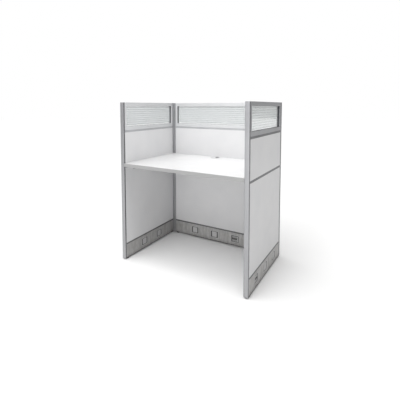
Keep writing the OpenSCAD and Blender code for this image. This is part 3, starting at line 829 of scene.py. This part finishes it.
def port_boxes(side, face):
    """The boxes of the port modules on one face of a panel, in its own frame."""
    back = panel_place(side).inverted()
    boxes = [turned_box(back, *box) for box in loose_boxes("port_modules_" + side)]
    return sorted((box for box in boxes if (box[0].y + box[1].y < 0) == (face == "inner")),
                  key=lambda box: box[0].x)


def cut_away(piece, cutter):
    """Takes the cutter's shape out of the piece and drops the cutter."""
    cut = piece.modifiers.new("cut", "BOOLEAN")
    cut.operation = "DIFFERENCE"
    cut.solver = "EXACT"
    cut.object = cutter
    bake_modifiers(piece)
    bpy.data.objects.remove(cutter)


port_gap, cut_near, cut_far = 0.5 * MM, 8 * MM, 20 * MM
for side in SIDES:
    for face in ("inner", "outer"):
        node = f"raceway_cover_{side}_{face}"
        place = panel_place(side)
        low, high = panel_box(side, node)
        facing = -1 if face == "inner" else 1
        half = max(abs(low.y), abs(high.y))
        section = [(-facing * across, up) for across, up in cover_section(half, low.z, high.z)]
        net = bmesh.new()
        swept(net, section, low.x, high.x, place)
        cover = settle(net, f"raceway_shell_{side}_{face}", raceway_paint)
        holes = bmesh.new()
        for a, b in port_boxes(side, face):
            block(holes, a.x - port_gap, b.x + port_gap, facing * cut_near, facing * cut_far,
                  a.z - port_gap, b.z + port_gap, place, 2 * MM, 4)
        cut_away(cover, settle(holes, "port_cutter", raceway_paint))
        soften(cover, 0.3 * MM, 2, angle=50)
        lip_z, foot_z = high.z - 10.2 * MM, low.z + 5.2 * MM
        # Painted shade: the top lip and the foot get the dark lip finish.
        repaint_where(cover, raceway_lip_painted_shade, lambda face: not foot_z < face.center.z < lip_z)
        stand_for(cover, node, "raceway_paint", node)

# ---------------------------------------------------------------------------
# Port modules: grey moulded blanks that fill the ports. A bezel, a deep slot
# down each side for the fingers and a raised middle; one in three is louvred.
port_moulding = finish_coat(
    "port_moulding", (0.58, 0.58, 0.58), (0.88, 0.88, 0.88), 0.5, metallic=0.1, grain=1300,
    depth=0.2, tone=0.06, wear=0.7, blotch=60, blotch_tone=(0.85, 0.85, 0.85), dust_and_shade=0.5,
    dust_and_shade_reach=0.06, dust_and_shade_tone=(0.14, 0.135, 0.13))
port_shadow = finish_coat(
    "port_shadow", (0.06, 0.06, 0.06), (0.15, 0.15, 0.15), 0.6, grain=1300, depth=0.2,
    tone=0.1, wear=0.2)
port_floor = 12.6 * MM


def port_module(net, low, high, face, louvred, place):
    """One blank. Depths count from the panel's middle plane outwards."""
    out = -1 if face == "inner" else 1
    x, z = (low.x + high.x) / 2, (low.z + high.z) / 2
    front, middle, rim = 15.0 * MM, 14.1 * MM, 4.5 * MM
    base, pin = port_floor - 0.2 * MM, 2.2 * MM

    def bar(x0, x1, z0, z1, back, face_at, radius):
        block(net, x + x0, x + x1, out * back, out * face_at, z + z0, z + z1, place, radius)

    wide, tall = (high.x - low.x) / 2, (high.z - low.z) / 2
    bar(-wide, wide, -tall, tall, 11.4 * MM, port_floor, 2 * MM)
    bar(-wide, -wide + rim, -tall, tall, base, front, 1.2 * MM)
    bar(wide - rim, wide, -tall, tall, base, front, 1.2 * MM)
    for low_z, high_z in ((-tall, -tall + rim), (tall - rim, tall)):
        bar(-wide + rim - 0.5 * MM, wide - rim + 0.5 * MM, low_z, high_z, base, front,
            0.3 * MM)
    bar(-23 * MM, 23 * MM, -19 * MM, 19 * MM, 1 * MM, 11.6 * MM, 1 * MM)
    if louvred:
        for rung in (-20, -15, -10, 10, 15, 20):
            bar(-26 * MM, 18 * MM, (rung - 1.3) * MM, (rung + 1.3) * MM, base, middle, 1 * MM)
        bar(21 * MM, 29 * MM, -24 * MM, 24 * MM, base, front, 2.5 * MM)
    else:
        bar(-23 * MM, 23 * MM, -23 * MM, 23 * MM, base, middle, 5 * MM)
        for shift in (-11, 11):
            bar(-16 * MM, 16 * MM, (shift - 9) * MM, (shift + 9) * MM, middle - 0.2 * MM,
                front, 8 * MM)
    for shift in (-1, 1):
        at = shift * (tall - 2.3 * MM)
        bar(-pin, pin, at - pin, at + pin, front - 0.5 * MM, front + 0.3 * MM, 2.19 * MM)


for side in SIDES:
    net = bmesh.new()
    for face in ("inner", "outer"):
        for place_in_row, (low, high) in enumerate(port_boxes(side, face)):
            port_module(net, low, high, face, place_in_row == 2, panel_place(side))
    ports = settle(net, "port_blanks_" + side, port_moulding, edge=0.25 * MM, steps=2)
    back = panel_place(side).inverted()
    repaint_where(ports, port_shadow,
                  lambda face: 11 * MM < abs((back @ face.center).y) < port_floor + 0.02 * MM)
    stand_for(ports, "carrel", "port_plastic", "port_modules_" + side)

# ---------------------------------------------------------------------------
# Desk: a 25 mm board faced in white laminate, bored for the grommet, with a
# white band ironed onto its front edge, painted grey there as shade. It rests on the brackets
# below.
desk_laminate = finish_coat(
    "desk_laminate", (0.71, 0.708, 0.71), (0.82, 0.82, 0.82), 0.36, grain=1300, depth=0.12,
    tone=0.012, wear=0.2, specular=0.45, dust_and_shade=0.0)
# Painted shade: the white edge band is given a grey colour for its front face.
band_painted_shade = finish_coat(
    "band_painted_shade", (0.37, 0.37, 0.37), (0.72, 0.72, 0.72), 0.42, grain=900,
    stretch=(0.05, 1, 1), depth=0.15, tone=0.02, wear=0.5, dust_and_shade=0.0)
liner_low, liner_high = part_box("grommet_liner")
grommet_x = (liner_low.x + liner_high.x) / 2
grommet_y = (liner_low.y + liner_high.y) / 2
hole_radius = 30 * MM


def cut_through(piece, name, outline, low, high, paint):
    """Cuts an upright hole of that outline, well past both heights."""
    net = bmesh.new()
    join_rings(net, upright_rings(net, outline, low - 10 * MM, high + 10 * MM), ends=True)
    cut_away(piece, settle(net, name, paint))


low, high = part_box("desk_top")
desk = rounded_slab("desk_board", low, high, desk_laminate, 0.5 * MM, 2)
circle = arc(grommet_x, grommet_y, hole_radius, 0, 360, 96)[:-1]
cut_through(desk, "grommet_drill", circle, low.z, high.z, desk_laminate)
desk.data.materials.clear()
desk.data.materials.append(desk_laminate)
stand_for(desk, "carrel", "desk_laminate", "desk_top")
low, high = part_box("desk_edge_band")
band = rounded_slab("desk_front_band", low, high, band_painted_shade, 0.95 * MM, 3)
stand_for(band, "carrel", "edge_band", "desk_edge_band")

# ---------------------------------------------------------------------------
# Grommet: a moulded liner dropped into the hole, and a round cap that turns
# in it. The cap is open on one side for the cables, with a black rubber collar
# round the opening.
liner_moulding = finish_coat(
    "liner_moulding", (0.52, 0.52, 0.525), (0.72, 0.72, 0.72), 0.42, grain=1500, depth=0.18,
    tone=0.03, wear=0.3, dust_and_shade=0.0)
cap_plastic = finish_coat(
    "grommet_cap_plastic", (0.60, 0.60, 0.605), (0.78, 0.78, 0.78), 0.38, grain=1500, depth=0.18,
    tone=0.03, wear=0.4, dust_and_shade=0.0)
sleeve_shadow = finish_coat(
    "sleeve_shadow", (0.03, 0.03, 0.032), (0.08, 0.08, 0.08), 0.6, grain=1500, depth=0.2,
    tone=0.1, wear=0.1, dust_and_shade=0.0)


def turned(net, profile, x, y, steps=96):
    """A ring turned about an upright axis: profile is a closed (radius, up) loop."""
    rings = []
    for radius, z in profile:
        if radius < 1e-6:
            rings.append([net.verts.new((x, y, z))])
            continue
        rings.append([net.verts.new((x + radius * math.cos(math.tau * i / steps),
                                     y + radius * math.sin(math.tau * i / steps), z))
                      for i in range(steps)])
    for ring, following in zip(rings, rings[1:] + rings[:1]):
        if len(ring) == 1 and len(following) == 1:
            continue
        for i in range(steps):
            j = (i + 1) % steps
            corners = [ring[i % len(ring)], ring[j % len(ring)],
                       following[j % len(following)], following[i % len(following)]]
            net.faces.new(list(dict.fromkeys(corners)))


top, under = liner_high.z, liner_low.z
flange, sleeve, wall = (liner_high.x - liner_low.x) / 2, 29.7 * MM, 2.2 * MM
seat, seat_radius, desk_face = 1.5 * MM, 34 * MM, top - 3 * MM
net = bmesh.new()
turned(net, [
    (sleeve - wall, under), (sleeve, under), (sleeve, desk_face), (flange - 0.4 * MM, desk_face),
    (flange, desk_face + 0.5 * MM), (flange, desk_face + 1.2 * MM),
    (flange - 0.8 * MM, top - 0.6 * MM), (flange - 2.2 * MM, top - 0.1 * MM),
    (seat_radius + 0.5 * MM, top), (seat_radius, top - 0.4 * MM), (seat_radius, top - seat),
    (sleeve - wall + 0.3 * MM, top - seat), (sleeve - wall, top - seat - 0.3 * MM)],
    grommet_x, grommet_y)
liner = settle(net, "grommet_ring", liner_moulding, smooth=True)
repaint_where(liner, sleeve_shadow, lambda face: math.hypot(
    face.center.x - grommet_x, face.center.y - grommet_y) < sleeve - wall + 0.2 * MM)
stand_for(liner, "carrel", "grommet_plastic", "grommet_liner")

cap_low, cap_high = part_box("grommet_cap")
rim_radius, skirt = seat_radius - 0.3 * MM, sleeve - wall - 0.3 * MM
plate = cap_high.z - 2.1 * MM
net = bmesh.new()
turned(net, [
    (0, cap_high.z - 0.5 * MM), (rim_radius * 0.5, cap_high.z - 0.45 * MM),
    (rim_radius * 0.84, cap_high.z - 0.25 * MM), (rim_radius * 0.88, cap_high.z),
    (rim_radius - 0.8 * MM, cap_high.z), (rim_radius, cap_high.z - 0.8 * MM),
    (rim_radius, plate), (skirt, plate), (skirt, cap_low.z), (skirt - 1.8 * MM, cap_low.z),
    (skirt - 1.8 * MM, plate), (0, plate)], grommet_x, grommet_y)
cap = settle(net, "grommet_disc", cap_plastic)
slot_half, slot_start = 9 * MM, 15.3 * MM


def slot_outline(half, start, end):
    """Outline of the cable slot about the grommet's axis: round within, straight sides."""
    points = [(end, -half), (end, half)] + arc(start, 0, half, 90, 270, 12)
    return [(grommet_x + x, grommet_y + y) for x, y in points]


slot = slot_outline(slot_half, slot_start, 45 * MM)
cut_through(cap, "slot_cutter", slot, cap_low.z, cap_high.z, cap_plastic)
shade_round(cap)
repaint_where(cap, sleeve_shadow, lambda face: face.center.z < plate - 0.1 * MM)
stand_for(cap, "grommet_cap", "grommet_cap_plastic", "grommet_cap")

collar_end = math.sqrt(rim_radius ** 2 - (slot_half + 2 * MM) ** 2) - 1 * MM
collar_low, collar_high = cap_high.z - 0.6 * MM, cap_high.z + 2 * MM
outer = slot_outline(slot_half + 2 * MM, slot_start, collar_end)
inner = slot_outline(slot_half, slot_start, collar_end)
net = bmesh.new()
sections = []
for (a, b), (c, d) in zip(outer[1:] + outer[:1], inner[1:] + inner[:1]):
    corners = ((a, b, collar_low), (a, b, collar_high), (c, d, collar_high), (c, d, collar_low))
    sections.append([net.verts.new(corner) for corner in corners])
join_rings(net, sections, ends=True)
collar = settle(net, "grommet_collar", rubber_and_reveal_shade, edge=0.3 * MM)
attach(collar, "grommet_cap")

# ---------------------------------------------------------------------------
# Brackets: folded steel angles, powder coated grey, screwed to the panels and
# up into the desk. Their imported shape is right, so a softened copy is shown.
bracket_coat = finish_coat(
    "bracket_coat", (0.45, 0.455, 0.46), (0.6, 0.6, 0.6), 0.5, metallic=0.2, grain=700,
    depth=0.5, tone=0.06, wear=0.5, dust_and_shade=0.0)
for side in SIDES:
    net = merged_copy("desk_bracket_" + side)
    bmesh.ops.dissolve_limit(net, angle_limit=math.radians(1), verts=net.verts, edges=net.edges)
    angle = settle(net, "desk_angle_" + side, bracket_coat, edge=0.5 * MM)
    stand_for(angle, "carrel", "bracket_steel", "desk_bracket_" + side)

# ---------------------------------------------------------------------------
# Screws: zinc plated pan heads with a cross recess, two rows along each
# bracket. One screw is built by a node tree and set at every place.
zinc_plate = finish_coat(
    "zinc_plate", (0.62, 0.62, 0.60), (0.75, 0.75, 0.73), 0.34, metallic=0.95, grain=1500,
    depth=0.15, tone=0.08, wear=0.2, dust_and_shade=0.0)


def make_screw_tree():
    """A pan-head screw on every point, turned to the point's facing vector."""
    tree, given, out = geometry_tree("pan_head_screws", {
        "Head Radius": ("NodeSocketFloat", 0.005), "Head Height": ("NodeSocketFloat", 0.003),
        "Shank Radius": ("NodeSocketFloat", 0.0025), "Shank Length": ("NodeSocketFloat", 0.013),
        "Plating": ("NodeSocketMaterial", None)})
    radius, height = given.outputs["Head Radius"], given.outputs["Head Height"]

    def size_of(x, y, z):
        return add_node(tree, "ShaderNodeCombineXYZ", {"X": x, "Y": y, "Z": z}).outputs[0]

    def moved(shape, up):
        return add_node(tree, "GeometryNodeTransform", {
            "Geometry": shape.outputs["Mesh"], "Translation": size_of(0.0, 0.0, up)})

    dome = add_node(tree, "GeometryNodeMeshUVSphere", {
        "Segments": 24, "Rings": 12, "Radius": radius})
    share = add_node(tree, "ShaderNodeMath", {0: height, 1: radius}, operation="DIVIDE")
    squat = add_node(tree, "GeometryNodeTransform", {
        "Geometry": dome.outputs["Mesh"], "Scale": size_of(1.0, 1.0, share.outputs[0])})
    wide = product(tree, radius, 3.0)
    lower = add_node(tree, "GeometryNodeMeshCube", {"Size": size_of(wide, wide, wide)})
    cutters = [moved(lower, product(tree, wide, -0.5))]
    arm_long, arm_thin = product(tree, radius, 1.1), product(tree, radius, 0.22)
    for across, along in ((arm_long, arm_thin), (arm_thin, arm_long)):
        arm = add_node(tree, "GeometryNodeMeshCube", {"Size": size_of(across, along, height)})
        cutters.append(moved(arm, height))
    head = add_node(tree, "GeometryNodeMeshBoolean", {"Mesh 1": squat.outputs[0]},
                    operation="DIFFERENCE", solver="EXACT")
    for cutter in cutters:
        tree.links.new(cutter.outputs[0], head.inputs["Mesh 2"])
    shank = add_node(tree, "GeometryNodeMeshCylinder", {
        "Vertices": 20, "Radius": given.outputs["Shank Radius"],
        "Depth": given.outputs["Shank Length"]})
    shank_at = moved(shank, product(tree, given.outputs["Shank Length"], -0.5))
    screw = add_node(tree, "GeometryNodeJoinGeometry")
    tree.links.new(head.outputs["Mesh"], screw.inputs[0])
    tree.links.new(shank_at.outputs[0], screw.inputs[0])
    facing = add_node(tree, "GeometryNodeInputNamedAttribute", {"Name": "facing"},
                      data_type="FLOAT_VECTOR")
    turn = add_node(tree, "FunctionNodeAlignRotationToVector", {
        "Vector": facing.outputs["Attribute"]}, axis="Z")
    set_in = add_node(tree, "GeometryNodeInstanceOnPoints", {
        "Points": given.outputs["Geometry"], "Instance": screw.outputs[0],
        "Rotation": turn.outputs[0]})
    real = add_node(tree, "GeometryNodeRealizeInstances", {"Geometry": set_in.outputs[0]})
    done = add_node(tree, "GeometryNodeSetMaterial", {
        "Geometry": real.outputs[0], "Material": given.outputs["Plating"]})
    feed(tree, out, {0: done.outputs[0]})
    return tree


def screw_places(node, head_height):
    """Where each screw's head sits and which way the head faces."""
    points = [vert.co.copy() for vert in nodes[node].data.vertices]
    found = []
    for low, high in loose_boxes(node):
        size = high - low
        axis = max(range(3), key=lambda i: size[i])
        centre = (low + high) / 2
        inside = [p for p in points
                  if all(low[i] - 1e-5 <= p[i] <= high[i] + 1e-5 for i in range(3))]
        spread = {}
        for end in (low[axis], high[axis]):
            ring = [p for p in inside if abs(p[axis] - end) < 1e-5]
            spread[end] = max((p - centre - Vector([(end - centre[axis]) if i == axis else 0
                                                    for i in range(3)])).length for p in ring)
        head = max(spread, key=spread.get)
        outward = Vector([0, 0, 0])
        outward[axis] = 1 if head == high[axis] else -1
        seat = centre.copy()
        seat[axis] = head - outward[axis] * head_height
        found.append((seat, outward))
    return found


screw_tree = make_screw_tree()
head_height = 3 * MM
places = screw_places("desk_screws", head_height)
seats = bpy.data.meshes.new("screw_seats")
seats.from_pydata([tuple(seat) for seat, _ in places], [], [])
facing = seats.attributes.new("facing", "FLOAT_VECTOR", "POINT")
for i, (_, outward) in enumerate(places):
    facing.data[i].vector = outward
screws = grow("desk_screw_set", screw_tree, {
    "Head Radius": 5 * MM, "Head Height": head_height, "Shank Radius": 2.5 * MM,
    "Shank Length": 13 * MM, "Plating": zinc_plate}, Matrix.Identity(4), seats)
stand_for(screws, "carrel", "fastener_steel", "desk_screws")

# ---------------------------------------------------------------------------
# Steel inside the panels: the welded frames, the bolts through the posts and
# the bored inserts for the feet. All of it is closed in by tiles and covers.
frame_primer = finish_coat(
    "frame_primer", (0.30, 0.305, 0.31), (0.45, 0.44, 0.43), 0.55, metallic=0.3, grain=500,
    depth=0.4, tone=0.1, wear=0.6)
for side in SIDES:
    repaint("frame_" + side, frame_primer)
repaint("connecting_bolts", zinc_plate)
repaint("foot_inserts", zinc_plate)

# ---------------------------------------------------------------------------
# Feet: black nylon pads moulded round a hexagon, on a zinc stem with a rolled
# thread. Two carry each panel and one stands under each rear corner post.
pad_nylon = finish_coat(
    "pad_nylon", (0.022, 0.022, 0.024), (0.08, 0.08, 0.08), 0.5, grain=1200, depth=0.3,
    tone=0.2, wear=0.4, dust_and_shade=0.6)


def make_foot(node):
    low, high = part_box(node)
    x, y = (low.x + high.x) / 2, (low.y + high.y) / 2
    radius, stem, pitch = (high.x - low.x) / 2, 4 * MM, 1.25 * MM
    net = bmesh.new()
    turned(net, [(0, 0), (radius - 1 * MM, 0), (radius, 0.8 * MM), (radius, 2.0 * MM),
                 (radius - 0.6 * MM, 2.6 * MM), (radius * 0.86, 3.0 * MM),
                 (radius * 0.84, 4.6 * MM), (radius * 0.8, 5 * MM), (0, 5 * MM)], x, y, 48)
    turned(net, [(0, 4.9 * MM), (7.4 * MM, 4.9 * MM), (7.4 * MM, 6.6 * MM), (6.9 * MM, 7 * MM),
                 (0, 7 * MM)], x, y, 6)
    pad = settle(net, node + "_pad", pad_nylon, smooth=True)
    net = bmesh.new()
    profile = [(0, 6.5 * MM), (stem - 0.6 * MM, 6.5 * MM)]
    z = 7 * MM
    while z < high.z - pitch:
        profile += [(stem - 0.6 * MM, z), (stem, z + pitch * 0.5)]
        z += pitch
    profile += [(stem - 0.8 * MM, high.z), (0, high.z)]
    turned(net, profile, x, y, 24)
    rod = settle(net, node + "_stem", zinc_plate)
    stand_for(pad, node, "foot_plastic", node)
    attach(rod, node)


for node in sorted(nodes):
    if node.startswith("foot_") and node != "foot_inserts":
        make_foot(node)
